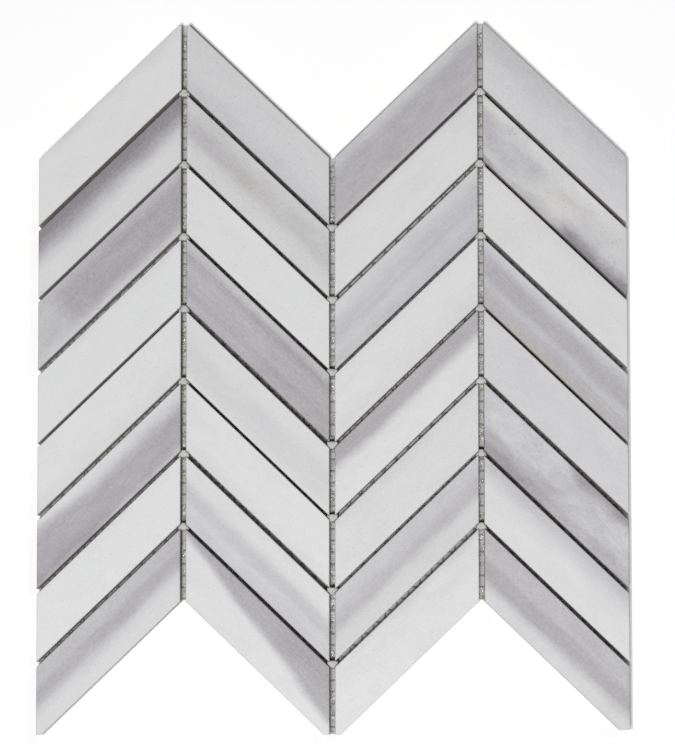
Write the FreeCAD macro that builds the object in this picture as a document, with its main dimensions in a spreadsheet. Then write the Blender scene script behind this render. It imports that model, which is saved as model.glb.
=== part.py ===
import FreeCAD, Part
import math
import os
import Sketcher

# Mesh-mounted chevron mosaic sheet, in millimetres.
#
# Parallelogram chips of marble stand in upright columns. The chips of one column
# lean up to the right, those of the next lean up to the left, so the columns meet
# in peaks and valleys. All chips are bonded face up on a glass-fibre backing mesh:
# lengthwise threads below, crosswise threads over them, and the chips on top.
# Adhesive shows where the slanting joints run into the upright ones.
#
# The sheet lies flat. X runs across the columns, Y runs along them, Z is up and out
# of the polished face. The origin is under the middle of the sheet, on its back.

doc = FreeCAD.newDocument("ChevronMosaicSheet")

# The driving sizes: alias, value, meaning.
SIZES = [
    ("column_count", 4, "upright columns of chips"),
    ("row_count", 8, "chips in one column"),
    ("column_pitch", 64.0, "one column and one upright joint, across the sheet"),
    ("row_pitch", 31.3, "one chip and one slanting joint, measured upright"),
    ("upright_joint", 2.4, "width of the joints between columns"),
    ("slant_joint", 1.6, "width of the joints between chips, square to the joint"),
    ("chevron_angle", 43.8, "degrees between a slanting edge and the X axis"),
    ("bottom_row_extra", 2.0, "the lowest chips are cut this much taller"),
    ("top_tip_trim", 1.0, "height sawn off the peaks at the top edge"),
    ("bottom_tip_trim", 2.3, "height sawn off the points at the bottom edge"),
    ("last_tip_trim", 4.4, "the same for the last column, whose point is cut shorter"),
    ("saw_overrun", 1.0, "how far the trimming cut runs past the stone"),
    ("laying_wander", 0.3, "most that a hand-laid chip sits above or below its place"),
    ("chip_thickness", 10.0, "marble thickness"),
    ("arris", 0.3, "width of the eased edge round the polished face"),
    ("mesh_pitch", 5.0, "spacing of the backing threads, both ways"),
    ("mesh_shift", 2.5, "the lengthwise threads lie this far right of the middle"),
    ("mesh_setback", 0.5, "the mesh stops this far inside the stone's outline"),
    ("thread_width", 0.9, "width of a flat backing thread"),
    ("thread_thickness", 0.25, "thickness of one layer of threads"),
    ("glue_height", 8.0, "how high the adhesive stands in a joint crossing"),
    ("glue_length", 3.6, "length of an adhesive dab along the upright joint"),
    ("glue_spread", 1.3, "how far a dab runs into the slanting joints"),
]

# Hand-laid chips drift by a wave over columns and rows; these are its phases in radians.
COLUMN_PHASE = 2.1
ROW_PHASE = 3.7

sheet = doc.addObject("Spreadsheet::Sheet", "Sizes")
for line, (alias, value, meaning) in enumerate(SIZES, start=1):
    sheet.set("A%d" % line, alias)
    sheet.set("B%d" % line, str(value))
    sheet.set("C%d" % line, meaning)
    sheet.setAlias("B%d" % line, alias)
doc.recompute()

# Lengths worked out from the driving sizes, as expressions.
SLOPE = "tan(Sizes.chevron_angle)"
RUN = "(Sizes.column_pitch - Sizes.upright_joint)"
RISE = "(%s * %s)" % (RUN, SLOPE)
GAP = "(Sizes.slant_joint / cos(Sizes.chevron_angle))"
SIDE = "(Sizes.row_pitch - %s)" % GAP
TALL_SIDE = "(%s + Sizes.bottom_row_extra)" % SIDE
WIDTH = "(Sizes.column_count * Sizes.column_pitch - Sizes.upright_joint)"
STACK = "(Sizes.row_count * Sizes.row_pitch - %s + Sizes.bottom_row_extra)" % GAP
HEIGHT = "(%s + %s - Sizes.top_tip_trim - Sizes.bottom_tip_trim)" % (STACK, RISE)
FOOT = "(-%s / 2 - Sizes.bottom_tip_trim)" % HEIGHT
MESH_TOP = "(2 * Sizes.thread_thickness)"


def size(alias):
    """The number in the sheet's cell of this name."""
    return float(sheet.get(alias))


def worked_out(expression):
    """The present value of an expression."""
    value = sheet.evalExpression(expression)
    return float(getattr(value, "Value", value))


def leans_right(column):
    """True for the columns whose chips climb to the right."""
    return column % 2 == 0


def flat_sketch(body, name):
    """An empty sketch on the body's XY plane."""
    sketch = body.newObject("Sketcher::SketchObject", name)
    plane = next(feature for feature in body.Origin.OriginFeatures if feature.Role == "XY_Plane")
    sketch.AttachmentSupport = [(plane, "")]
    sketch.MapMode = "FlatFace"
    return sketch


def add_ring(sketch, corners):
    """A closed ring of lines through the corners, with their ends tied together."""
    points = [FreeCAD.Vector(x, y, 0) for x, y in corners]
    for start, end in zip(points, points[1:] + points[:1]):
        sketch.addGeometry(Part.LineSegment(start, end), False)
    for index in range(len(points)):
        following = (index + 1) % len(points)
        sketch.addConstraint(Sketcher.Constraint("Coincident", index, 2, following, 1))


def add_size(sketch, name, kind, first, second, expression):
    """A distance across or along between two line starts, bound to an expression."""
    value = worked_out(expression)
    index = sketch.addConstraint(Sketcher.Constraint(kind, *first, *second, value))
    sketch.renameConstraint(index, name)
    sketch.setExpression("Constraints." + name, expression)


ORIGIN = (-1, 1)


def rectangle_sketch(body, name, across, along):
    """A rectangle with its lower left corner on the sketch's origin."""
    sketch = flat_sketch(body, name)
    width, height = worked_out(across), worked_out(along)
    add_ring(sketch, [(0, 0), (width, 0), (width, height), (0, height)])
    for line, kind in enumerate(("Horizontal", "Vertical", "Horizontal", "Vertical")):
        sketch.addConstraint(Sketcher.Constraint(kind, line))
    sketch.addConstraint(Sketcher.Constraint("Coincident", 0, 1, *ORIGIN))
    add_size(sketch, "across", "DistanceX", (0, 1), (1, 1), across)
    add_size(sketch, "along", "DistanceY", (0, 1), (3, 1), along)
    return sketch


def chip_sketch(body, column, side):
    """The parallelogram of one chip, its lowest corner level with the sketch's X axis."""
    sketch = flat_sketch(body, body.Name + "_outline")
    run, rise, height = worked_out(RUN), worked_out(RISE), worked_out(side)
    left, right = (0, rise) if leans_right(column) else (rise, 0)
    add_ring(sketch, [(0, left), (run, right), (run, right + height), (0, left + height)])
    low, high = ((0, 1), (1, 1)) if leans_right(column) else ((1, 1), (0, 1))
    x_axis, y_axis = -1, -2
    sketch.addConstraint(Sketcher.Constraint("Vertical", 1))
    sketch.addConstraint(Sketcher.Constraint("Vertical", 3))
    sketch.addConstraint(Sketcher.Constraint("PointOnObject", *low, x_axis))
    sketch.addConstraint(Sketcher.Constraint("PointOnObject", 0, 1, y_axis))
    add_size(sketch, "run", "DistanceX", (0, 1), (1, 1), RUN)
    add_size(sketch, "rise", "DistanceY", low, high, RISE)
    add_size(sketch, "left_side", "DistanceY", (0, 1), (3, 1), side)
    add_size(sketch, "right_side", "DistanceY", (1, 1), (2, 1), side)
    return sketch


def saw_off(body, name, start, depth):
    """Saws the chip level from a height of its own Y axis, over a depth along Y."""
    reach = "(%s + 2 * Sizes.saw_overrun)" % RUN
    sketch = rectangle_sketch(body, body.Name + "_" + name, reach, depth)
    sketch.setExpression("AttachmentOffset.Base.x", "-Sizes.saw_overrun")
    sketch.setExpression("AttachmentOffset.Base.y", start)
    cut = body.newObject("PartDesign::Pocket", body.Name + "_" + name + "_cut")
    cut.Profile = sketch
    cut.Type = "ThroughAll"
    cut.SideType = "Symmetric"
    body.Tip = cut


def ease_edges(body):
    """A small flat along every edge of the polished face."""
    doc.recompute()
    stone = body.Tip
    face_height = stone.Shape.BoundBox.ZMax
    edges = [
        "Edge%d" % number
        for number, edge in enumerate(stone.Shape.Edges, start=1)
        if face_height - edge.BoundBox.ZMin < size("arris") / 2
    ]
    chamfer = body.newObject("PartDesign::Chamfer", body.Name + "_arris")
    chamfer.Base = (stone, edges)
    chamfer.setExpression("Size", "Sizes.arris")
    body.Tip = chamfer


def make_chip(column, row):
    """One marble chip. Columns count from the left and rows from the top, both from 0."""
    last_row = int(size("row_count")) - 1
    body = doc.addObject("PartDesign::Body", "chip_column%d_row%d" % (column + 1, row + 1))
    side = TALL_SIDE if row == last_row else SIDE
    slab = body.newObject("PartDesign::Pad", body.Name + "_slab")
    slab.Profile = chip_sketch(body, column, side)
    slab.setExpression("Length", "Sizes.chip_thickness")
    body.Tip = slab
    if row == 0:
        start = "%s + %s - Sizes.top_tip_trim" % (RISE, side)
        saw_off(body, "peak", start, "Sizes.top_tip_trim + Sizes.saw_overrun")
    if row == last_row:
        last_column = int(size("column_count")) - 1
        trim = "Sizes.last_tip_trim" if column == last_column else "Sizes.bottom_tip_trim"
        saw_off(body, "point", "-Sizes.saw_overrun", trim + " + Sizes.saw_overrun")
    ease_edges(body)

    level = FOOT
    if row != last_row:
        level += " + Sizes.bottom_row_extra + %d * Sizes.row_pitch" % (last_row - row)
    if 0 < row < last_row:
        share = math.sin(COLUMN_PHASE * column + ROW_PHASE * row)
        level += " + %.3f * Sizes.laying_wander" % share
    body.setExpression("Placement.Base.x", "-%s / 2 + %d * Sizes.column_pitch" % (WIDTH, column))
    body.setExpression("Placement.Base.y", level)
    body.setExpression("Placement.Base.z", MESH_TOP)
    return body


def backing_corners():
    """The backing's zigzag outline as expressions, anticlockwise from its lower left corner."""
    columns = int(size("column_count"))
    drop = "Sizes.mesh_setback / cos(Sizes.chevron_angle)"
    lower, upper = [], []
    for column in range(columns):
        for at_left in (True, False):
            outermost = (at_left and column == 0) or (not at_left and column == columns - 1)
            setback = "Sizes.mesh_setback" if outermost else "0"
            across = "%d * Sizes.column_pitch" % column
            across += " + " + setback if at_left else " + %s - %s" % (RUN, setback)
            level = "%s * %s" % (setback, SLOPE)
            if at_left != leans_right(column):
                level = "%s - %s" % (RISE, level)
            lower.append((across, "%s + %s" % (level, drop)))
            upper.append((across, "%s + %s - %s" % (level, STACK, drop)))
    return lower + upper[::-1]


def make_backing_outline():
    """A plate of the sheet's zigzag outline, set back from the stone, which trims the threads."""
    body = doc.addObject("PartDesign::Body", "backing_outline")
    corners = backing_corners()
    sketch = flat_sketch(body, "backing_outline_sketch")
    add_ring(sketch, [(worked_out(across), worked_out(along)) for across, along in corners])
    for index, (across, along) in enumerate(corners):
        add_size(sketch, "across_%d" % index, "DistanceX", ORIGIN, (index, 1), across)
        add_size(sketch, "along_%d" % index, "DistanceY", ORIGIN, (index, 1), along)
    plate = body.newObject("PartDesign::Pad", "backing_plate")
    plate.Profile = sketch
    plate.setExpression("Length", MESH_TOP)
    body.Tip = plate
    body.setExpression("Placement.Base.x", "-%s / 2" % WIDTH)
    body.setExpression("Placement.Base.y", FOOT)
    return body


def row_of_pads(name, across, along, height, axis, count, spacing):
    """A body of equal rectangular pads, repeated along one axis of its sketch."""
    body = doc.addObject("PartDesign::Body", name)
    body.AllowCompound = True
    sketch = rectangle_sketch(body, name + "_section", across, along)
    pad = body.newObject("PartDesign::Pad", name + "_first")
    pad.Profile = sketch
    pad.setExpression("Length", height)
    doc.recompute()
    pattern = body.newObject("PartDesign::LinearPattern", name + "_pattern")
    pattern.Originals = [pad]
    pattern.Direction = (sketch, [axis])
    pattern.Mode = "Spacing"
    pattern.setExpression("Offset", spacing)
    pattern.setExpression("Occurrences", count)
    body.Tip = pattern
    return body


def make_threads(name, across, along, axis, span, outline):
    """One layer of backing threads, trimmed to the sheet's outline."""
    count = "floor((%s - 2 * Sizes.mesh_setback - Sizes.thread_width) / Sizes.mesh_pitch) + 1" % span
    uncut = row_of_pads(
        name + "_uncut", across, along, "Sizes.thread_thickness", axis, count, "Sizes.mesh_pitch"
    )
    first = "-((%s) - 1) * Sizes.mesh_pitch / 2 - Sizes.thread_width / 2" % count
    threads = doc.addObject("Part::Common", name)
    threads.Base = uncut
    threads.Tool = outline
    return uncut, first, threads


def make_lengthwise_threads(outline):
    """The lower layer: threads that run along Y."""
    reach = "%s - 2 * Sizes.mesh_setback" % HEIGHT
    uncut, first, threads = make_threads(
        "mesh_lengthwise_threads", "Sizes.thread_width", reach, "H_Axis", WIDTH, outline
    )
    uncut.setExpression("Placement.Base.x", first + " + Sizes.mesh_shift")
    uncut.setExpression("Placement.Base.y", "-%s / 2 + Sizes.mesh_setback" % HEIGHT)
    return threads


def make_crosswise_threads(outline):
    """The upper layer: threads that run along X, on which the chips are bonded."""
    uncut, first, threads = make_threads(
        "mesh_crosswise_threads", WIDTH, "Sizes.thread_width", "V_Axis", HEIGHT, outline
    )
    uncut.setExpression("Placement.Base.x", "-%s / 2" % WIDTH)
    uncut.setExpression("Placement.Base.y", first)
    uncut.setExpression("Placement.Base.z", "Sizes.thread_thickness")
    return threads


def make_glue(column, chips):
    """The adhesive dabs in the upright joint to the right of a column, shaped by its chips."""
    name = "glue_dabs_joint%d" % (column + 1)
    breadth = "(Sizes.upright_joint + 2 * Sizes.glue_spread)"
    blocks = row_of_pads(
        name + "_uncut", breadth, "Sizes.glue_length", "Sizes.glue_height",
        "V_Axis", "Sizes.row_count - 1", "Sizes.row_pitch"
    )
    meeting = RISE if leans_right(column) else "0"
    middle = "-%s / 2 + %d * Sizes.column_pitch - Sizes.upright_joint / 2" % (WIDTH, column + 1)
    level = "%s + %s + Sizes.bottom_row_extra + Sizes.row_pitch - %s / 2" % (FOOT, meeting, GAP)
    blocks.setExpression("Placement.Base.x", "%s - %s / 2" % (middle, breadth))
    blocks.setExpression("Placement.Base.y", "%s - Sizes.glue_length / 2" % level)
    blocks.setExpression("Placement.Base.z", MESH_TOP)

    neighbours = doc.addObject("Part::Compound", name + "_neighbours")
    neighbours.Links = chips[column] + chips[column + 1]
    dabs = doc.addObject("Part::Cut", name)
    dabs.Base = blocks
    dabs.Tool = neighbours
    return dabs


def check(nodes):
    """Stops if any object failed or any sub-part is not sound."""
    for item in doc.Objects:
        if "Invalid" in item.State or "Error" in item.State:
            raise RuntimeError("%s did not compute: %s" % (item.Name, item.State))
    for node in nodes:
        if node.Shape.isNull() or not node.Shape.isValid() or not node.Shape.Solids:
            raise RuntimeError(node.Label + " is not a sound solid")


columns = range(int(size("column_count")))
rows = range(int(size("row_count")))
chips = [[make_chip(column, row) for row in rows] for column in columns]
outline = make_backing_outline()
nodes = [chip for column in chips for chip in column]
nodes.append(make_lengthwise_threads(outline))
nodes.append(make_crosswise_threads(outline))
nodes.extend(make_glue(column, chips) for column in columns[:-1])
doc.recompute()
check(nodes)

os.makedirs("parts", exist_ok=True)
for node in nodes:
    node.Shape.exportStep("parts/%s.step" % node.Label)
    box = node.Shape.BoundBox
    print(
        "%-24s %3d solids %10.1f mm3  x %.2f..%.2f  y %.2f..%.2f  z %.2f..%.2f"
        % (node.Label, len(node.Shape.Solids), node.Shape.Volume,
           box.XMin, box.XMax, box.YMin, box.YMax, box.ZMin, box.ZMax)
    )
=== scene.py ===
import math

import bmesh
import bpy
from mathutils import Matrix, Vector


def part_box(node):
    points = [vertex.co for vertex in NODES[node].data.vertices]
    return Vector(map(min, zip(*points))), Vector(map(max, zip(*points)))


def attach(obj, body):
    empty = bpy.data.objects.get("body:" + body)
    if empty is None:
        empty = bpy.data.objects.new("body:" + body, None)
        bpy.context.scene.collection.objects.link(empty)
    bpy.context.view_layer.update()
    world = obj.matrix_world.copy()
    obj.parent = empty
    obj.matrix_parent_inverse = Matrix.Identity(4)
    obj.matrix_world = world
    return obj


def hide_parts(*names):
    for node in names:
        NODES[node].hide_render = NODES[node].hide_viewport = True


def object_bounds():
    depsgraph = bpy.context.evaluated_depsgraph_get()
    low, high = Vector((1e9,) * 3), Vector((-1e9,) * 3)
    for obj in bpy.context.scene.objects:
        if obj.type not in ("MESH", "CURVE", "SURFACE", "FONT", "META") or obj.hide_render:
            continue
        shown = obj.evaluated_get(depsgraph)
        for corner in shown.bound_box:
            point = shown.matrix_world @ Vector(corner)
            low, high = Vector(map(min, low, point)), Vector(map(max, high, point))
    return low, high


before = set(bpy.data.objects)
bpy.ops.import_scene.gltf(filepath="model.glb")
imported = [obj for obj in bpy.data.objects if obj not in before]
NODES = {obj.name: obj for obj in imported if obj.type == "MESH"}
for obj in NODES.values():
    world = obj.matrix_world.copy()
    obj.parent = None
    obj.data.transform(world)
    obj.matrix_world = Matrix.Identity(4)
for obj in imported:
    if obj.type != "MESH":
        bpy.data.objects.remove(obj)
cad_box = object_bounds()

# A marble chevron mosaic on a woven backing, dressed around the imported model.
# Metres everywhere, except inside the stone's shaders, which work in millimetres.

MM = 0.001

COLUMNS = 4
ROWS = 8
CHEVRON_ANGLE = math.radians(43.8)
COLUMN_PITCH = 64.0 * MM
JOINT_WIDTH = 2.4 * MM
CHIP_RISE = (COLUMN_PITCH - JOINT_WIDTH) * math.tan(CHEVRON_ANGLE)
TOP_TRIM = 1.0 * MM
BOTTOM_TRIM = 2.3 * MM
LAST_TRIM = 4.4 * MM
MESH_PITCH = 5.0 * MM
MESH_MIDDLE = 0.25 * MM


def chip_name(column, row):
    return "chip_column%d_row%d" % (column, row)


def leans_right(column):
    """Columns count from 1; the first climbs to the right."""
    return column % 2 == 1


# Shader and geometry graphs


class Graph:
    """A few short words for wiring a node tree."""

    def __init__(self, tree):
        self.tree = tree
        self.nodes = tree.nodes
        self.links = tree.links

    def put(self, socket, value):
        """Gives an input a value, or a link if the value is another node's output."""
        if isinstance(value, bpy.types.NodeSocket):
            self.links.new(value, socket)
        elif value is not None:
            socket.default_value = value

    def node(self, kind, inputs=(), **settings):
        made = self.nodes.new(kind)
        for name, value in settings.items():
            setattr(made, name, value)
        for key, value in dict(inputs).items():
            self.put(made.inputs[key], value)
        return made

    def math(self, operation, *values, clamp=False):
        made = self.node("ShaderNodeMath", operation=operation, use_clamp=clamp)
        for index, value in enumerate(values):
            self.put(made.inputs[index], value)
        return made.outputs[0]

    def vector(self, operation, *values):
        made = self.node("ShaderNodeVectorMath", operation=operation)
        for index, value in enumerate(values):
            self.put(made.inputs[index], value)
        return made.outputs[0]

    def scaled(self, vector, amounts):
        return self.vector("MULTIPLY", vector, amounts)

    def length(self, vector):
        made = self.node("ShaderNodeVectorMath", {0: vector}, operation="LENGTH")
        return made.outputs["Value"]

    def join(self, x=0.0, y=0.0, z=0.0):
        return self.node("ShaderNodeCombineXYZ", {"X": x, "Y": y, "Z": z}).outputs[0]

    def split(self, vector):
        return self.node("ShaderNodeSeparateXYZ", {"Vector": vector}).outputs

    def noise(self, vector, scale, detail=3.0, roughness=0.5, distortion=0.0):
        made = self.node(
            "ShaderNodeTexNoise",
            {"Vector": vector, "Scale": scale, "Detail": detail,
             "Roughness": roughness, "Distortion": distortion},
        )
        return made.outputs[0]

    def ramp(self, value, low, high, to_low=0.0, to_high=1.0, smooth=True):
        """Value from low..high to to_low..to_high, held at both ends."""
        made = self.node(
            "ShaderNodeMapRange",
            {"Value": value, "From Min": low, "From Max": high,
             "To Min": to_low, "To Max": to_high},
            interpolation_type="SMOOTHSTEP" if smooth else "LINEAR",
            clamp=True,
        )
        return made.outputs[0]

    def mix(self, factor, first, second, blend="MIX"):
        made = self.node("ShaderNodeMix", data_type="RGBA", blend_type=blend)
        self.put(made.inputs[0], factor)
        self.put(made.inputs[6], first)
        self.put(made.inputs[7], second)
        return made.outputs[2]

    def group(self, tree, **values):
        made = self.node("ShaderNodeGroup", node_tree=tree)
        for name, value in values.items():
            self.put(made.inputs[name.replace("_", " ")], value)
        return made.outputs


FLOAT, VECTOR, COLOR = "NodeSocketFloat", "NodeSocketVector", "NodeSocketColor"
GEOMETRY, MATERIAL = "NodeSocketGeometry", "NodeSocketMaterial"


def new_tree(kind, name, inputs, outputs):
    """An empty node tree with its sockets, and the graph to fill it."""
    tree = bpy.data.node_groups.new(name, kind)
    for label, socket_kind, value in inputs:
        socket = tree.interface.new_socket(label, in_out="INPUT", socket_type=socket_kind)
        if value is not None:
            socket.default_value = value
    for label, socket_kind in outputs:
        tree.interface.new_socket(label, in_out="OUTPUT", socket_type=socket_kind)
    graph = Graph(tree)
    given = graph.node("NodeGroupInput").outputs
    result = graph.node("NodeGroupOutput").inputs
    return tree, graph, given, result


def make_warp_group():
    """Millimetres along and across a chip, gently bent as the beds in the stone are."""
    tree, graph, given, result = new_tree(
        "ShaderNodeTree", "stone_beds",
        [("Along and across", VECTOR, None), ("Seed", FLOAT, 0.0), ("Waviness", FLOAT, 1.0)],
        [("Bent", VECTOR)],
    )
    moved = graph.vector("ADD", given["Along and across"], graph.join(z=given["Seed"]))
    slow = graph.noise(graph.scaled(moved, (0.025, 0.07, 0.07)), 1.0, 2.0)
    quick = graph.noise(graph.scaled(moved, (0.16, 0.3, 0.3)), 1.0, 4.0, 0.6)
    shift = graph.math("ADD", graph.math("MULTIPLY_ADD", slow, 7.0, -3.5),
                       graph.math("MULTIPLY_ADD", quick, 2.2, -1.1))
    shift = graph.math("MULTIPLY", shift, given["Waviness"])
    graph.put(result["Bent"], graph.vector("ADD", moved, graph.join(y=shift)))
    return tree


def make_band_group():
    """Darkness of one grey band that runs along a chip, between two soft edges."""
    tree, graph, given, result = new_tree(
        "ShaderNodeTree", "stone_band",
        [("Bent", VECTOR, None), ("Strength", FLOAT, 0.5),
         ("Upper", FLOAT, 30.0), ("Upper fade", FLOAT, 4.0),
         ("Lower", FLOAT, -30.0), ("Lower fade", FLOAT, 4.0),
         ("Tilt", FLOAT, 0.0), ("Start", FLOAT, -90.0), ("Finish", FLOAT, 130.0)],
        [("Darkness", FLOAT)],
    )
    along, across, _ = graph.split(given["Bent"])
    height = graph.math("SUBTRACT", across, graph.math("MULTIPLY", along, given["Tilt"]))

    def edge(place, fade):
        half = graph.math("MULTIPLY", fade, 0.5)
        return graph.ramp(height, graph.math("SUBTRACT", place, half),
                          graph.math("ADD", place, half))

    under_top = graph.math("SUBTRACT", 1.0, edge(given["Upper"], given["Upper fade"]))
    over_foot = edge(given["Lower"], given["Lower fade"])
    begins = graph.ramp(along, given["Start"], graph.math("ADD", given["Start"], 12.0))
    ends = graph.ramp(along, graph.math("SUBTRACT", given["Finish"], 12.0), given["Finish"],
                      1.0, 0.0)
    shade = graph.math("MULTIPLY", under_top, over_foot)
    shade = graph.math("MULTIPLY", shade, graph.math("MULTIPLY", begins, ends))
    graph.put(result["Darkness"], graph.math("MULTIPLY", shade, given["Strength"]))
    return tree


def make_stain_group():
    """A soft beige patch with a ragged edge."""
    tree, graph, given, result = new_tree(
        "ShaderNodeTree", "stone_stain",
        [("Bent", VECTOR, None), ("Along", FLOAT, 0.0), ("Across", FLOAT, 0.0),
         ("Length", FLOAT, 10.0), ("Height", FLOAT, 4.0), ("Strength", FLOAT, 0.5)],
        [("Stain", FLOAT)],
    )
    along, across, _ = graph.split(given["Bent"])
    right = graph.math("DIVIDE", graph.math("SUBTRACT", along, given["Along"]), given["Length"])
    up = graph.math("DIVIDE", graph.math("SUBTRACT", across, given["Across"]), given["Height"])
    reach = graph.length(graph.join(right, up))
    ragged = graph.noise(given["Bent"], 0.35, 3.0)
    reach = graph.math("ADD", reach, graph.math("MULTIPLY_ADD", ragged, 1.2, -0.6))
    graph.put(result["Stain"], graph.math("MULTIPLY", graph.ramp(reach, 0.3, 1.1, 1.0, 0.0),
                                          given["Strength"]))
    return tree


def make_stone_group():
    """Colour, roughness and height of honed marble from how grey it is at a point."""
    tree, graph, given, result = new_tree(
        "ShaderNodeTree", "honed_marble",
        [("Bent", VECTOR, None), ("Greyness", FLOAT, 0.0), ("Streaks", FLOAT, 0.3),
         ("Clouds", FLOAT, 0.3), ("Warmth", FLOAT, 0.0), ("Specks", FLOAT, 0.5)],
        [("Color", COLOR), ("Roughness", FLOAT), ("Height", FLOAT)],
    )
    bent = given["Bent"]
    streak = graph.noise(graph.scaled(bent, (0.03, 0.85, 0.85)), 1.0, 4.0, 0.6)
    streak = graph.math("MULTIPLY", graph.math("SUBTRACT", streak, 0.5), given["Streaks"])
    cloud = graph.noise(graph.scaled(bent, (0.06, 0.13, 0.13)), 1.0, 5.0, 0.65, 0.4)
    cloud = graph.math("MULTIPLY", graph.math("SUBTRACT", cloud, 0.5), given["Clouds"])
    mottle = graph.noise(bent, 0.8, 4.0, 0.7)
    mottle = graph.math("MULTIPLY", graph.math("SUBTRACT", mottle, 0.5), 0.6)
    crystal = graph.noise(bent, 1.6, 3.0, 0.65)
    crystal = graph.math("MULTIPLY", graph.math("SUBTRACT", crystal, 0.5), 0.18)

    veined = graph.math("ADD", graph.math("MULTIPLY", streak, 0.8), mottle)
    veined = graph.math("MULTIPLY", veined, graph.math("ADD", given["Greyness"], 0.1))
    body = graph.math("ADD", given["Greyness"], cloud)
    body = graph.math("ADD", body, veined)
    body = graph.math("ADD", body, crystal, clamp=True)

    tone = graph.node("ShaderNodeValToRGB", {"Fac": body})
    shades = [
        (0.0, (0.770, 0.772, 0.780)),
        (0.25, (0.645, 0.640, 0.654)),
        (0.55, (0.468, 0.456, 0.477)),
        (0.8, (0.337, 0.325, 0.345)),
        (1.0, (0.241, 0.231, 0.248)),
    ]
    stops = tone.color_ramp.elements
    while len(stops) < len(shades):
        stops.new(0.5)
    for stop, (position, shade) in zip(stops, shades):
        stop.position = position
        stop.color = (*shade, 1.0)
    color = graph.mix(given["Warmth"], tone.outputs[0], (0.95, 0.88, 0.77, 1.0), "MULTIPLY")

    grain = graph.noise(bent, 1.5, 2.0, 0.5)
    dark_grain = graph.math("MULTIPLY", graph.ramp(grain, 0.64, 0.74), given["Specks"])
    color = graph.mix(dark_grain, color, (0.36, 0.35, 0.36, 1.0))

    # Sawn sides are rougher and duller than the honed face, and their darker, warmer colour is also
    # painted shade for the deep joints where they show. The back has thin set on it.
    upward = graph.split(graph.node("ShaderNodeNewGeometry").outputs["Normal"])[2]
    sawn = graph.ramp(upward, 0.25, 0.75, 1.0, 0.0)
    side_dust_and_shade = graph.noise(bent, 0.35, 4.0, 0.65)
    dull_and_shaded_sides = graph.math("MULTIPLY", sawn, graph.ramp(side_dust_and_shade, 0.2, 0.8, 0.35, 0.8))
    # Painted shade, in part: the sides are darker and browner than sawn marble alone would be.
    color = graph.mix(dull_and_shaded_sides, color, (0.50, 0.455, 0.395, 1.0))
    back = graph.ramp(upward, -0.75, -0.5, 1.0, 0.0)
    smear = graph.noise(graph.scaled(bent, (0.12, 0.3, 0.3)), 1.0, 5.0, 0.6)
    smear = graph.math("MULTIPLY", back, graph.ramp(smear, 0.42, 0.58, 0.1, 0.9))
    color = graph.mix(smear, color, (0.66, 0.66, 0.64, 1.0))
    graph.put(result["Color"], color)

    polish = graph.math("MULTIPLY_ADD", crystal, 0.9, 0.40)
    graph.put(result["Roughness"], graph.math("MULTIPLY_ADD", sawn, 0.42, polish))

    marks = graph.noise(graph.scaled(bent, (2.2, 2.2, 0.25)), 1.0, 3.0, 0.6)
    relief = graph.math("MULTIPLY", graph.math("MULTIPLY", marks, sawn), 0.5)
    relief = graph.math("ADD", relief, graph.math("MULTIPLY", smear, 0.8))
    pits = graph.math("MULTIPLY", dark_grain, -0.25)
    graph.put(result["Height"], graph.math("ADD", relief, graph.math("ADD", pits, crystal)))
    return tree


WARP = make_warp_group()
BAND = make_band_group()
STAIN = make_stain_group()
STONE = make_stone_group()


# What each chip shows, in millimetres from the chip's middle. Upper and lower are the two
# edges of a band across the chip, start and finish its ends along it from the left.


def band(strength, **edges):
    return dict(edges, strength=strength)


def stain(strength, **place):
    return dict(place, strength=strength)


def look(base, *bands, clouds=0.25, streaks=0.25, warm=0.0, specks=0.4, wave=0.6, stains=()):
    return {"base": base, "bands": bands, "clouds": clouds, "streaks": streaks,
            "warm": warm, "specks": specks, "wave": wave, "stains": stains}


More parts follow.
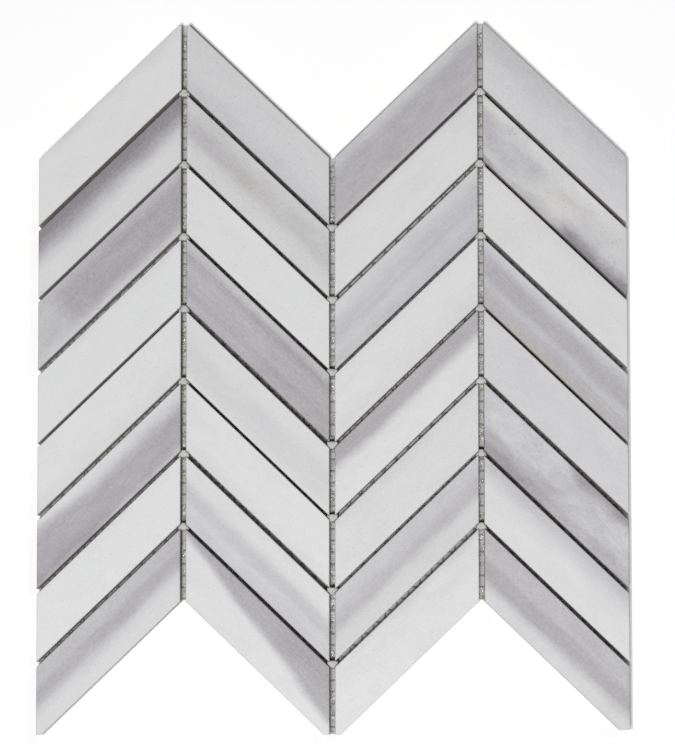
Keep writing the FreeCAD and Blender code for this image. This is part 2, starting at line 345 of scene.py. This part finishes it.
STONE_LOOKS = {
    (1, 1): look(0.015, band(0.12, lower=8, lower_fade=5, start=-30)),
    (1, 2): look(0.11, band(0.92, lower=2.6, lower_fade=13.6), streaks=0.35),
    (1, 3): look(0.12, band(0.30, lower=-10, lower_fade=12),
                 band(0.26, upper=8.5, upper_fade=8, lower=-8, lower_fade=7, start=-33)),
    (1, 4): look(0.0, band(0.12, lower=8.5, lower_fade=5, start=-20), clouds=0.2),
    (1, 5): look(0.01, band(0.09, upper=-5, upper_fade=6)),
    (1, 6): look(0.12, band(0.55, upper=5, upper_fade=9, lower=-10.5, lower_fade=6),
                 band(0.12, upper=8, upper_fade=5, lower=3, lower_fade=4, finish=-14),
                 band(0.16, upper=-6, upper_fade=4, finish=-4),
                 wave=1.1, clouds=0.4),
    (1, 7): look(0.01, band(0.06, lower=8, lower_fade=4)),
    (1, 8): look(0.155, band(0.33, lower=-3.4, lower_fade=10),
                 band(0.16, upper=3.8, upper_fade=3, lower=-1.9, lower_fade=4)),
    (2, 1): look(0.20, band(0.12, upper=-5, upper_fade=9), specks=0.7),
    (2, 2): look(0.16, band(0.21, upper=6.5, upper_fade=8, lower=-2.5, lower_fade=7),
                 band(0.08, lower=6, lower_fade=6),
                 band(0.08, upper=5, upper_fade=4, lower=-2, lower_fade=4, finish=0),
                 specks=0.8, warm=0.08, clouds=0.3,
                 stains=[stain(0.26, along=-5, across=2, length=14, height=4)]),
    (2, 3): look(0.02),
    (2, 4): look(0.39, band(0.17, upper=7.5, upper_fade=4), band(0.08, start=0),
                 band(0.10, upper=7, upper_fade=2.4, lower=3.4, lower_fade=2.4),
                 band(0.07, upper=-4.2, upper_fade=1.6, lower=-6.4, lower_fade=2), streaks=0.5),
    (2, 5): look(0.08, band(0.12, upper=2.5, upper_fade=6, lower=-8, lower_fade=5)),
    (2, 6): look(0.02, band(0.08, upper=-6, upper_fade=6)),
    (2, 7): look(0.09, band(0.28, upper=2.5, upper_fade=5, lower=-4.5, lower_fade=5),
                 band(0.23, upper=-5.5, upper_fade=4), band(0.05, upper=1, start=-10)),
    (2, 8): look(0.07, band(0.62, lower=0.9, lower_fade=5, tilt=-0.15),
                 band(0.10, lower=3, lower_fade=8, start=0)),
    (3, 1): look(0.28, band(0.29, upper=7, upper_fade=8, lower=-10, lower_fade=6),
                 band(0.08, lower=2, finish=-10), clouds=0.4, specks=0.6),
    (3, 2): look(0.06, band(0.10, lower=8.5, lower_fade=4)),
    (3, 3): look(0.21, band(0.16, upper=5.5, upper_fade=8, lower=-1.7, lower_fade=3),
                 band(0.12, upper=-1, upper_fade=3), band(0.06, upper=-7, upper_fade=4),
                 band(0.05, start=0), streaks=0.4),
    (3, 4): look(0.02, band(0.07, upper=-3, upper_fade=8), band(0.06, lower=8.5, lower_fade=4)),
    (3, 5): look(0.02, band(0.53, lower=3, lower_fade=6), band(0.06, lower=1, lower_fade=12),
                 band(0.07, lower=6, finish=0), streaks=0.35),
    (3, 6): look(0.08, band(0.10, lower=7.5, lower_fade=6), warm=0.09),
    (3, 7): look(0.215, band(0.14, lower=-3, lower_fade=6),
                 band(0.15, upper=4, upper_fade=8, lower=-2.2, lower_fade=4), warm=0.05),
    (3, 8): look(0.045, band(0.14, lower=8.5, lower_fade=4, start=-30),
                 band(0.05, lower=0, lower_fade=10), band(0.06, lower=7, start=-5)),
    (4, 1): look(0.195, band(0.22, lower=3, lower_fade=18), clouds=0.3, specks=0.6),
    (4, 2): look(0.17, band(0.30, upper=-6, upper_fade=8),
                 band(0.25, upper=6, upper_fade=6, lower=-4, lower_fade=5, finish=-4),
                 band(0.28, upper=-1, upper_fade=16, start=8),
                 band(0.30, upper=-6.5, upper_fade=3, finish=-20),
                 band(0.32, upper=-5.5, upper_fade=5, start=4),
                 wave=1.3, clouds=0.7, specks=0.8, warm=0.06,
                 stains=[stain(0.22, along=6, across=1, length=14, height=6)]),
    (4, 3): look(0.07, band(0.06, lower=8, lower_fade=5)),
    (4, 4): look(0.28, band(0.32, upper=7, upper_fade=6, lower=-2, lower_fade=5),
                 band(0.26, upper=-3.5, upper_fade=5), streaks=0.35,
                 stains=[stain(0.35, along=0, across=-9, length=60, height=3)]),
    (4, 5): look(0.225),
    (4, 6): look(0.33, band(0.26, upper=-1.2, upper_fade=4, finish=10),
                 band(0.36, lower=7, lower_fade=5, start=-5),
                 band(0.16, upper=-7, upper_fade=3), band(0.09, start=-5),
                 wave=1.3, clouds=0.7, specks=0.9),
    (4, 7): look(0.075, band(0.34, lower=5, lower_fade=11)),
    (4, 8): look(0.20, band(0.31, lower=-7, lower_fade=6),
                 band(0.15, upper=1, upper_fade=3, lower=-5, lower_fade=3), warm=0.04),
}


def socket_values(given):
    """Keys such as lower_fade as the names of a group's inputs, such as Lower_fade."""
    return {key.capitalize(): float(value) for key, value in given.items()}


def make_stone(column, row):
    """The marble of one chip, its pattern centred on the chip and turned along it."""
    shown = STONE_LOOKS[column, row]
    low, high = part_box(chip_name(column, row))
    material = bpy.data.materials.new("marble_column%d_row%d" % (column, row))
    material.use_nodes = True
    graph = Graph(material.node_tree)
    shader = graph.nodes["Principled BSDF"]

    place = graph.node("ShaderNodeTexCoord").outputs["Object"]
    mapping = graph.node("ShaderNodeMapping", {"Vector": place}, vector_type="TEXTURE")
    mapping.inputs["Location"].default_value = (low + high) / 2
    lean = CHEVRON_ANGLE if leans_right(column) else -CHEVRON_ANGLE
    mapping.inputs["Rotation"].default_value = (0.0, 0.0, lean)
    mapping.inputs["Scale"].default_value = (MM, MM, MM)
    bent = graph.group(WARP, Along_and_across=mapping.outputs[0],
                       Seed=17.0 * column + 5.3 * row, Waviness=shown["wave"])[0]
    grey, warm = shown["base"], shown["warm"]
    for each in shown["bands"]:
        grey = graph.math("ADD", grey, graph.group(BAND, Bent=bent, **socket_values(each))[0])
    for each in shown["stains"]:
        warm = graph.math("ADD", warm, graph.group(STAIN, Bent=bent, **socket_values(each))[0])
    stone = graph.group(STONE, Bent=bent, Greyness=grey, Streaks=shown["streaks"],
                        Clouds=shown["clouds"], Warmth=warm, Specks=shown["specks"])
    graph.put(shader.inputs["Base Color"], stone["Color"])
    graph.put(shader.inputs["Roughness"], stone["Roughness"])
    bump = graph.node("ShaderNodeBump",
                      {"Height": stone["Height"], "Strength": 0.12, "Distance": 0.2 * MM})
    graph.put(shader.inputs["Normal"], bump.outputs[0])
    shader.inputs["Specular IOR Level"].default_value = 0.35
    return material


def dress(piece, material):
    piece.data.materials.clear()
    piece.data.materials.append(material)


for column in range(1, COLUMNS + 1):
    for row in range(1, ROWS + 1):
        dress(NODES[chip_name(column, row)], make_stone(column, row))


# Backing mesh and adhesive


def new_material(name):
    material = bpy.data.materials.new(name)
    material.use_nodes = True
    graph = Graph(material.node_tree)
    place = graph.node("ShaderNodeTexCoord").outputs["Object"]
    return material, graph, graph.nodes["Principled BSDF"], place


def make_yarn_material():
    """Coated glass yarn: grey-green, with fine fibres and a slight gloss."""
    material, graph, shader, place = new_material("coated_glass_yarn")
    fibres = graph.noise(graph.scaled(place, (3500.0, 3500.0, 1500.0)), 1.0, 3.0, 0.6)
    patches = graph.noise(place, 260.0, 3.0)
    color = graph.mix(fibres, (0.12, 0.125, 0.11, 1.0), (0.36, 0.37, 0.34, 1.0))
    color = graph.mix(graph.ramp(patches, 0.6, 0.8, 0.0, 0.5), color, (0.66, 0.67, 0.64, 1.0))
    graph.put(shader.inputs["Base Color"], color)
    graph.put(shader.inputs["Roughness"], graph.ramp(fibres, 0.2, 0.8, 0.3, 0.6))
    bump = graph.node("ShaderNodeBump", {"Height": fibres, "Strength": 0.5, "Distance": 0.05 * MM})
    graph.put(shader.inputs["Normal"], bump.outputs[0])
    return material


def make_glue_material(name, dark, light, gloss):
    """Cured adhesive, cloudy inside, with a grainy skin."""
    material, graph, shader, place = new_material(name)
    cloud = graph.ramp(graph.noise(place, 450.0, 4.0, 0.6), 0.3, 0.7)
    graph.put(shader.inputs["Base Color"], graph.mix(cloud, dark, light))
    graph.put(shader.inputs["Roughness"], graph.ramp(cloud, 0.0, 1.0, gloss, gloss + 0.2))
    grain = graph.noise(place, 1600.0, 3.0)
    bump = graph.node("ShaderNodeBump", {"Height": grain, "Strength": 0.4, "Distance": 0.15 * MM})
    graph.put(shader.inputs["Normal"], bump.outputs[0])
    return material


YARN = make_yarn_material()
GLUE = make_glue_material("cured_adhesive", (0.46, 0.46, 0.445, 1.0), (0.63, 0.63, 0.62, 1.0), 0.4)
FILM = make_glue_material("adhesive_film", (0.24, 0.25, 0.22, 1.0), (0.76, 0.77, 0.73, 1.0), 0.12)


def grow(name, mesh, tree, values):
    """Runs a geometry tree on a mesh and keeps the result as a plain piece of the part."""
    seedling = bpy.data.objects.new(name + "_seed", mesh)
    bpy.context.scene.collection.objects.link(seedling)
    modifier = seedling.modifiers.new("shape", "NODES")
    modifier.node_group = tree
    sockets = {item.name: item.identifier for item in tree.interface.items_tree
               if item.item_type == "SOCKET" and item.in_out == "INPUT"}
    for label, value in values.items():
        modifier[sockets[label]] = value
    bpy.context.view_layer.update()
    ready = seedling.evaluated_get(bpy.context.evaluated_depsgraph_get())
    grown = bpy.data.meshes.new_from_object(ready)
    seedling.modifiers.clear()
    bpy.data.objects.remove(seedling)
    piece = bpy.data.objects.new(name, grown)
    bpy.context.scene.collection.objects.link(piece)
    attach(piece, "root")
    return piece


def finish_tree(graph, given, result, geometry):
    """Every tree ends alike: smooth, real and with its material."""
    smooth = graph.node("GeometryNodeSetShadeSmooth", {"Geometry": geometry}).outputs[0]
    real = graph.node("GeometryNodeRealizeInstances", {"Geometry": smooth}).outputs[0]
    done = graph.node("GeometryNodeSetMaterial", {"Geometry": real, "Material": given["Material"]})
    graph.put(result[0], done.outputs[0])


def thread_spans(node, axis):
    """The two ends of every thread of a CAD layer, down the thread's middle."""
    mesh = NODES[node].data
    leader = {}

    def find(item):
        while leader.setdefault(item, item) != item:
            item = leader[item]
        return item

    keys = [tuple(round(value, 7) for value in vertex.co) for vertex in mesh.vertices]
    for polygon in mesh.polygons:
        first = find(keys[polygon.vertices[0]])
        for index in polygon.vertices[1:]:
            leader[find(keys[index])] = first
    solids = {}
    for key in set(keys):
        solids.setdefault(find(key), []).append(key)
    spans = []
    for points in solids.values():
        low = Vector(min(point[i] for point in points) for i in range(3))
        high = Vector(max(point[i] for point in points) for i in range(3))
        start, finish = (low + high) / 2, (low + high) / 2
        start[axis], finish[axis] = low[axis], high[axis]
        spans.append((start, finish))
    return sorted(spans, key=lambda span: tuple(span[0]))


def make_yarn_tree():
    """Straight lines become yarns that weave over and under and wander a little."""
    tree, graph, given, result = new_tree(
        "GeometryNodeTree", "woven_yarn",
        [("Lines", GEOMETRY, None), ("Step", FLOAT, 1.25 * MM),
         ("Width", FLOAT, 0.3 * MM), ("Thickness", FLOAT, 0.2 * MM),
         ("Weave pitch", FLOAT, MESH_PITCH), ("Lift", FLOAT, 0.12 * MM),
         ("Sway", FLOAT, 0.2 * MM), ("Wander", FLOAT, 0.3 * MM),
         ("Wander length", FLOAT, 14 * MM), ("Along Y", "NodeSocketBool", False),
         ("Material", MATERIAL, None)],
        [("Yarn", GEOMETRY)],
    )
    curve = graph.node("GeometryNodeMeshToCurve", {"Mesh": given["Lines"]}).outputs[0]
    points = graph.node(
        "GeometryNodeResampleCurve", {"Curve": curve, "Length": given["Step"]}, mode="LENGTH"
    ).outputs[0]
    position = graph.node("GeometryNodeInputPosition").outputs[0]
    side = graph.node("GeometryNodeInputNamedAttribute", {"Name": "side"}, data_type="FLOAT")
    side = side.outputs[0]
    x, y, _ = graph.split(position)
    run = graph.node("GeometryNodeSwitch",
                     {"Switch": given["Along Y"], "False": x, "True": y}, input_type="FLOAT")
    turn = graph.math("DIVIDE", run.outputs[0], given["Weave pitch"])
    turn = graph.math("MULTIPLY", turn, math.pi)
    over = graph.math("MULTIPLY", graph.math("COSINE", turn), side)
    sway = graph.math("MULTIPLY", graph.math("SINE", turn), side)
    noise = graph.noise(position, graph.math("DIVIDE", 1.0, given["Wander length"]), 1.0)
    drift = graph.math("MULTIPLY_ADD", noise, 2.0, -1.0)
    aside = graph.math("MULTIPLY", drift, given["Wander"])
    aside = graph.math("MULTIPLY_ADD", sway, given["Sway"], aside)
    up = graph.math("MULTIPLY", over, given["Lift"])
    offset = graph.node(
        "GeometryNodeSwitch",
        {"Switch": given["Along Y"], "False": graph.join(y=aside, z=up),
         "True": graph.join(x=aside, z=up)},
        input_type="VECTOR",
    )
    moved = graph.node("GeometryNodeSetPosition",
                       {"Geometry": points, "Offset": offset.outputs[0]}).outputs[0]
    level = graph.node("GeometryNodeSetCurveNormal", {"Curve": moved}, mode="Z_UP").outputs[0]
    ring = graph.node("GeometryNodeCurvePrimitiveCircle", {"Resolution": 6, "Radius": 0.5})
    profile = graph.node(
        "GeometryNodeTransform",
        {"Geometry": ring.outputs[0], "Scale": graph.join(given["Width"], given["Thickness"], 1.0)},
    ).outputs[0]
    solid = graph.node("GeometryNodeCurveToMesh",
                       {"Curve": level, "Profile Curve": profile, "Fill Caps": True}).outputs[0]
    finish_tree(graph, given, result, solid)
    return tree


def line_mesh(name, lines):
    """Loose edges with a side of the weave: one yarn of a pair is the other's mirror."""
    mesh = bpy.data.meshes.new(name)
    points = [point for start, finish, _ in lines for point in (start, finish)]
    edges = [(2 * index, 2 * index + 1) for index in range(len(lines))]
    mesh.from_pydata(points, edges, [])
    side = mesh.attributes.new("side", "FLOAT", "POINT")
    for index, (_, _, value) in enumerate(lines):
        side.data[2 * index].value = value
        side.data[2 * index + 1].value = value
    return mesh


def weave(name, node, axis, sides, sizes):
    """Yarns in place of one layer of the CAD mesh."""
    lines = [(start, finish, side) for start, finish in thread_spans(node, axis)
             for side in sides]
    for start, finish, _ in lines:
        start.z = finish.z = MESH_MIDDLE
    yarns = grow(name, line_mesh(name + "_lines", lines), YARN_TREE,
                 dict(sizes, Material=YARN))
    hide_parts(node)


YARN_TREE = make_yarn_tree()
weave("mesh_warp_yarns", "mesh_lengthwise_threads", 1, (1.0, -1.0),
      {"Step": 1.667 * MM, "Width": 0.42 * MM, "Thickness": 0.22 * MM, "Lift": 0.13 * MM,
       "Sway": 0.16 * MM, "Wander": 0.18 * MM, "Along Y": True})
weave("mesh_weft_yarns", "mesh_crosswise_threads", 0, (0.0,),
      {"Step": 1.25 * MM, "Width": 0.75 * MM, "Thickness": 0.2 * MM, "Lift": 0.0,
       "Sway": 0.0, "Wander": 0.35 * MM, "Wander length": 9 * MM, "Along Y": False})


def make_dab_tree():
    """A sharp-cornered dab becomes a rounded, slightly lumpy one."""
    tree, graph, given, result = new_tree(
        "GeometryNodeTree", "rounded_dab",
        [("Dabs", GEOMETRY, None), ("Grain", FLOAT, 0.25 * MM), ("Rounding", "NodeSocketInt", 4),
         ("Lump height", FLOAT, 0.35 * MM), ("Lump size", FLOAT, 1.6 * MM),
         ("Material", MATERIAL, None)],
        [("Dab", GEOMETRY)],
    )
    volume = graph.node(
        "GeometryNodeMeshToVolume",
        {"Mesh": given["Dabs"], "Voxel Size": given["Grain"], "Interior Band Width": 2 * MM},
        resolution_mode="VOXEL_SIZE",
    ).outputs[0]
    skin = graph.node(
        "GeometryNodeVolumeToMesh",
        {"Volume": volume, "Voxel Size": given["Grain"], "Threshold": 0.1},
        resolution_mode="VOXEL_SIZE",
    ).outputs[0]
    position = graph.node("GeometryNodeInputPosition").outputs[0]
    blur = graph.node("GeometryNodeBlurAttribute", data_type="FLOAT_VECTOR")
    graph.put([socket for socket in blur.inputs if socket.type == "VECTOR"][0], position)
    graph.put(blur.inputs["Iterations"], given["Rounding"])
    even = [socket for socket in blur.outputs if socket.type == "VECTOR"][0]
    rounded = graph.node("GeometryNodeSetPosition", {"Geometry": skin, "Position": even})
    lump = graph.noise(position, graph.math("DIVIDE", 1.0, given["Lump size"]), 2.0)
    lump = graph.math("MULTIPLY", graph.math("SUBTRACT", lump, 0.6), given["Lump height"])
    outward = graph.node("GeometryNodeInputNormal").outputs[0]
    push = graph.node("ShaderNodeVectorMath", {0: outward, "Scale": lump}, operation="SCALE")
    lumpy = graph.node("GeometryNodeSetPosition",
                       {"Geometry": rounded.outputs[0], "Offset": push.outputs[0]})
    finish_tree(graph, given, result, lumpy.outputs[0])
    return tree


def merged_copy(node):
    """A copy of a CAD node's mesh with its loose triangles joined up."""
    shell = bmesh.new()
    shell.from_mesh(NODES[node].data)
    bmesh.ops.remove_doubles(shell, verts=shell.verts, dist=0.001 * MM)
    bmesh.ops.recalc_face_normals(shell, faces=shell.faces)
    mesh = bpy.data.meshes.new(node + "_merged")
    shell.to_mesh(mesh)
    shell.free()
    return mesh


def make_film_tree():
    """A thin, broken film of adhesive along a joint, bubbled and creased."""
    tree, graph, given, result = new_tree(
        "GeometryNodeTree", "adhesive_film",
        [("Seed", GEOMETRY, None), ("Width", FLOAT, 2.4 * MM), ("Length", FLOAT, 250 * MM),
         ("Middle", VECTOR, None), ("Cells across", "NodeSocketInt", 12),
         ("Cells along", "NodeSocketInt", 1200), ("Thickness", FLOAT, 0.12 * MM),
         ("Bubble height", FLOAT, 0.5 * MM), ("Bubble size", FLOAT, 0.7 * MM),
         ("Patch size", FLOAT, 9 * MM), ("Bareness", FLOAT, 0.5), ("Material", MATERIAL, None)],
        [("Film", GEOMETRY)],
    )
    sheet = graph.node(
        "GeometryNodeMeshGrid",
        {"Size X": given["Width"], "Size Y": given["Length"],
         "Vertices X": given["Cells across"], "Vertices Y": given["Cells along"]},
    ).outputs[0]
    sheet = graph.node("GeometryNodeTransform",
                       {"Geometry": sheet, "Translation": given["Middle"]}).outputs[0]
    position = graph.node("GeometryNodeInputPosition").outputs[0]
    patches = graph.noise(position, graph.math("DIVIDE", 1.0, given["Patch size"]), 4.0, 0.6)
    bare = graph.node("FunctionNodeCompare", operation="LESS_THAN", data_type="FLOAT")
    graph.put(bare.inputs[0], patches)
    graph.put(bare.inputs[1], given["Bareness"])
    left = graph.node("GeometryNodeDeleteGeometry",
                      {"Geometry": sheet, "Selection": bare.outputs[0]}, domain="FACE").outputs[0]
    raised = graph.node("GeometryNodeExtrudeMesh",
                        {"Mesh": left, "Offset Scale": given["Thickness"], "Individual": False})
    bubbles = graph.noise(position, graph.math("DIVIDE", 1.0, given["Bubble size"]), 3.0, 0.6)
    bubbles = graph.ramp(bubbles, 0.45, 0.75)
    rise = graph.join(z=graph.math("MULTIPLY", bubbles, given["Bubble height"]))
    bubbled = graph.node(
        "GeometryNodeSetPosition",
        {"Geometry": raised.outputs["Mesh"], "Selection": raised.outputs["Top"], "Offset": rise},
    ).outputs[0]
    under = graph.node("GeometryNodeFlipFaces", {"Mesh": left}).outputs[0]
    both = graph.node("GeometryNodeJoinGeometry")
    graph.put(both.inputs[0], bubbled)
    graph.put(both.inputs[0], under)
    closed = graph.node("GeometryNodeMergeByDistance",
                        {"Geometry": both.outputs[0], "Distance": 0.001 * MM}).outputs[0]
    finish_tree(graph, given, result, closed)
    return tree


FILM_HEIGHT = 0.14 * MM
FILM_PLAY = 0.1 * MM
FILM_SHORTER = 1.5 * MM

DAB_TREE = make_dab_tree()
FILM_TREE = make_film_tree()
for joint in range(1, COLUMNS):
    node = "glue_dabs_joint%d" % joint
    dabs = grow("adhesive_joint%d" % joint, merged_copy(node), DAB_TREE,
                {"Material": GLUE})
    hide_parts(node)

    # The film lies on the mesh and ends where the shorter of the two columns does.
    left_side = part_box(chip_name(joint, 1))[1].x
    right_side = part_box(chip_name(joint + 1, ROWS))[0].x
    peak = leans_right(joint)
    foot = cad_box[0].y + (CHIP_RISE - BOTTOM_TRIM if peak else 0.0)
    top = cad_box[1].y - (0.0 if peak else CHIP_RISE - TOP_TRIM)
    middle = Vector(((left_side + right_side) / 2, (foot + top) / 2, FILM_HEIGHT))
    grow("adhesive_film_joint%d" % joint, bpy.data.meshes.new("film_seed"), FILM_TREE,
         {"Width": JOINT_WIDTH - FILM_PLAY, "Length": top - foot - FILM_SHORTER,
          "Middle": middle, "Material": FILM})


# Floor, light and camera

low, high = cad_box
WHITE = (1.0, 1.0, 1.0, 1.0)
PAPER_WHITE = (0.97, 0.97, 0.97, 1.0)
# Painted shade: the floor under the sheet and out to the cut-out line is grey. It is darker than
# the paper around it for the shade under the sheet, over a backdrop that is also duller than the
# paper.
SHADED_FLOOR_GREY = (0.60, 0.605, 0.59, 1.0)
# Painted light: a lighter grey for the floor at the sheet's right edge, where light comes in from
# the side into the joint ends.
LIT_EDGE_GREY = (0.74, 0.735, 0.74, 1.0)
FLOOR_REACH = 3.0
FLOOR_GAP = 0.02 * MM
PAPER_LIFT = 0.18
SKY_LIGHT = 0.18

# How far the photograph's cut-out line lies outside the sheet, measured on the floor.
SLIVER_ABOVE = 2.15 * MM
SLIVER_RIGHT = 1.8 * MM
SLIVER_PEAK = 1.9 * MM


def seen_directly(graph):
    """1 for rays that show a surface itself, 0 for those that only bring its light."""
    paths = graph.node("ShaderNodeLightPath").outputs
    mirrored = graph.math("MAXIMUM", paths["Is Glossy Ray"], paths["Is Transmission Ray"])
    return graph.math("MAXIMUM", paths["Is Camera Ray"], mirrored)


def make_floor():
    """A floor, grey under the sheet as painted shade and lighter towards the right edge as painted
    light. Outside the cut-out line of the photograph it runs out to white.
    """
    mesh = bpy.data.meshes.new("floor")
    reach, level = FLOOR_REACH, low.z - FLOOR_GAP
    corners = [(-reach, -reach), (reach, -reach), (reach, reach), (-reach, reach)]
    mesh.from_pydata([(x, y, level) for x, y in corners], [], [(0, 1, 2, 3)])
    floor = bpy.data.objects.new("floor", mesh)
    bpy.context.scene.collection.objects.link(floor)
    material = bpy.data.materials.new("pale_floor")
    material.use_nodes = True
    graph = Graph(material.node_tree)
    graph.nodes.clear()

    x, y, _ = graph.split(graph.node("ShaderNodeTexCoord").outputs["Object"])
    fold = graph.math("PINGPONG", graph.math("ADD", x, 2 * COLUMN_PITCH), COLUMN_PITCH)
    climb = graph.math("MULTIPLY", fold, math.tan(CHEVRON_ANGLE))
    level_height = graph.math("SUBTRACT", y, climb)
    corner_drop = JOINT_WIDTH / 2 * math.tan(CHEVRON_ANGLE)
    upper = high.y + TOP_TRIM - CHIP_RISE - corner_drop + SLIVER_ABOVE
    lower = low.y - BOTTOM_TRIM - corner_drop
    outside = graph.math("MAXIMUM", graph.math("GREATER_THAN", level_height, upper),
                         graph.math("LESS_THAN", level_height, lower))
    beside = graph.math("MAXIMUM", graph.math("GREATER_THAN", x, high.x + SLIVER_RIGHT),
                        graph.math("LESS_THAN", x, low.x))
    outside = graph.math("MAXIMUM", outside, beside)
    last_column = graph.math("GREATER_THAN", x, COLUMN_PITCH)
    tip = graph.math("MULTIPLY_ADD", last_column, LAST_TRIM - BOTTOM_TRIM, low.y)
    beyond = graph.math("MAXIMUM", graph.math("LESS_THAN", y, tip),
                        graph.math("GREATER_THAN", y, high.y + SLIVER_PEAK))
    outside = graph.math("MAXIMUM", outside, beyond)

    # Painted light: the floor lightens over the last 3 mm towards the right edge and stays light
    # beyond it.
    edge_light = graph.ramp(x, high.x - 3.0 * MM, high.x - 1.0 * MM)
    # Painted shade: grey floor under the sheet, lighter at the right edge as painted light.
    inside = graph.mix(edge_light, SHADED_FLOOR_GREY, LIT_EDGE_GREY)
    tone = graph.mix(outside, inside, PAPER_WHITE)
    paper = graph.node("ShaderNodeBsdfDiffuse", {"Color": tone})
    lift = graph.math("MULTIPLY", seen_directly(graph), outside)
    lift = graph.math("MULTIPLY", lift, PAPER_LIFT)
    glow = graph.node("ShaderNodeEmission", {"Color": WHITE, "Strength": lift})
    both = graph.node("ShaderNodeAddShader", {0: paper.outputs[0], 1: glow.outputs[0]})
    graph.node("ShaderNodeOutputMaterial", {"Surface": both.outputs[0]})
    mesh.materials.append(material)


def make_world():
    """White to look at, and much dimmer as a light."""
    world = bpy.data.worlds.new("soft_studio")
    bpy.context.scene.world = world
    world.use_nodes = True
    graph = Graph(world.node_tree)
    background = graph.nodes["Background"]
    strength = graph.ramp(seen_directly(graph), 0.0, 1.0, SKY_LIGHT, 1.0, smooth=False)
    graph.put(background.inputs["Color"], WHITE)
    graph.put(background.inputs["Strength"], strength)


def make_lamp(name, azimuth, elevation, distance, size, watts):
    """A square soft lamp that looks at the sheet's middle. Azimuth 0 is along +X."""
    light = bpy.data.lights.new(name, "AREA")
    light.shape = "SQUARE"
    light.size = size
    light.energy = watts
    lamp = bpy.data.objects.new(name, light)
    bpy.context.scene.collection.objects.link(lamp)
    turn, climb = math.radians(azimuth), math.radians(elevation)
    lamp.location = distance * Vector(
        (math.cos(climb) * math.cos(turn), math.cos(climb) * math.sin(turn), math.sin(climb))
    )
    lamp.rotation_euler = (-lamp.location).to_track_quat("-Z", "Y").to_euler()


SENSOR_WIDTH = 36.0
FOCAL_PIXELS = 3360.0
PICTURE_PIXELS = 750.0
CAMERA_TILT = (-4.066, -1.715, 0.046)
CAMERA_AIM = Vector((2.35, 0.85, 10.5)) * MM
CAMERA_DISTANCE = 1.4437


def make_camera():
    """The photograph's viewpoint: nearly overhead, a little towards the lower right."""
    data = bpy.data.cameras.new("camera")
    data.sensor_width = SENSOR_WIDTH
    data.lens = FOCAL_PIXELS / PICTURE_PIXELS * SENSOR_WIDTH
    data.clip_start, data.clip_end = 0.05, 20.0
    camera = bpy.data.objects.new("camera", data)
    bpy.context.scene.collection.objects.link(camera)
    turn_x, turn_y, turn_z = (math.radians(angle) for angle in CAMERA_TILT)
    view = (Matrix.Rotation(turn_x, 3, "X") @ Matrix.Rotation(turn_y, 3, "Y")
            @ Matrix.Rotation(turn_z, 3, "Z"))
    camera.location = CAMERA_AIM + view.transposed() @ Vector((0.0, 0.0, CAMERA_DISTANCE))
    camera.rotation_euler = view.transposed().to_euler()
    bpy.context.scene.camera = camera


make_floor()
make_world()
make_lamp("key", 261.0, 77.0, 3.2, 0.36, 62.0)
make_lamp("side", 44.0, 60.0, 3.2, 0.36, 8.0)
make_camera()
bpy.context.scene.view_settings.view_transform = "Standard"
